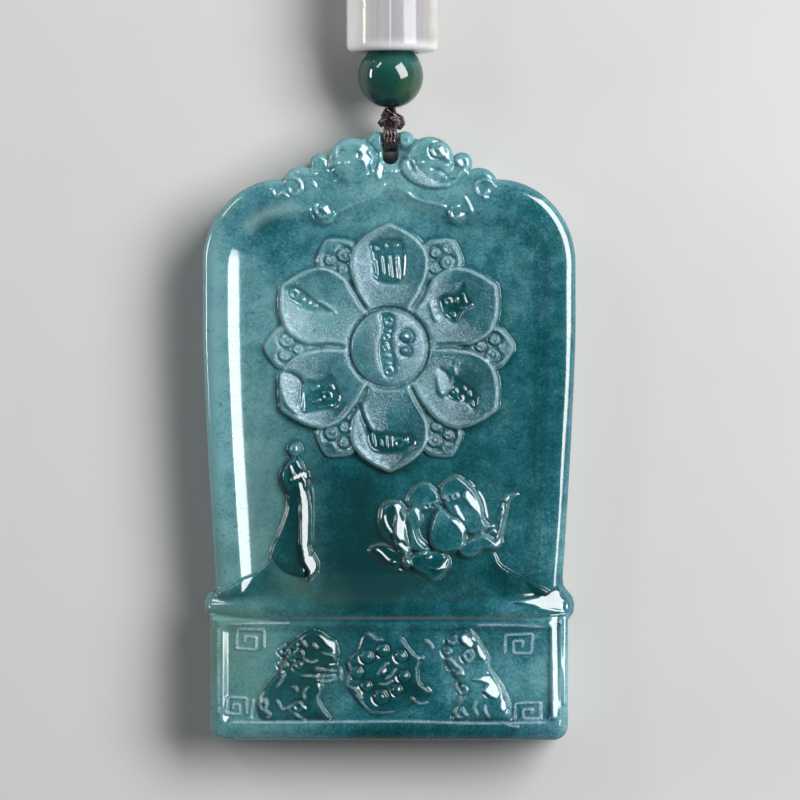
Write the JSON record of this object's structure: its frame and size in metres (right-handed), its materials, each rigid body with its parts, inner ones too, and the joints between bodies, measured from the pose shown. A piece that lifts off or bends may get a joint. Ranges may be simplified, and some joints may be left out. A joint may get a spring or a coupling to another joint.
{
  "type": "jade pendant",
  "caption": "Carved jade plaque pendant with a flower, robed figure and lotus in relief on a stepped foot, hung by a knotted thread under beads on a neck cord.",
  "frame": {"origin": "bottom centre of the jade plaque's box, on the surface that its back lies on", "axes": "+Z out of the carved face, +Y towards the cord hole, +X to the right as the carving is seen"},
  "size_m": [0.038, 0.1257, 0.0093],
  "materials": {
    "jade": "polished",
    "green_jade": "polished",
    "chalcedony": "polished",
    "dark_thread": "waxed",
    "neck_cord": "braided",
    "tie_cloth": "matte"
  },
  "bodies": {
    "root": {"plaque": "jade", "knotted_loop": "dark_thread", "round_bead": "green_jade", "tube_bead": "chalcedony", "cord_strand_left": "neck_cord", "cord_strand_right": "neck_cord", "cord_hank": "neck_cord", "hank_tie": "tie_cloth"}
  },
  "joints": []
}
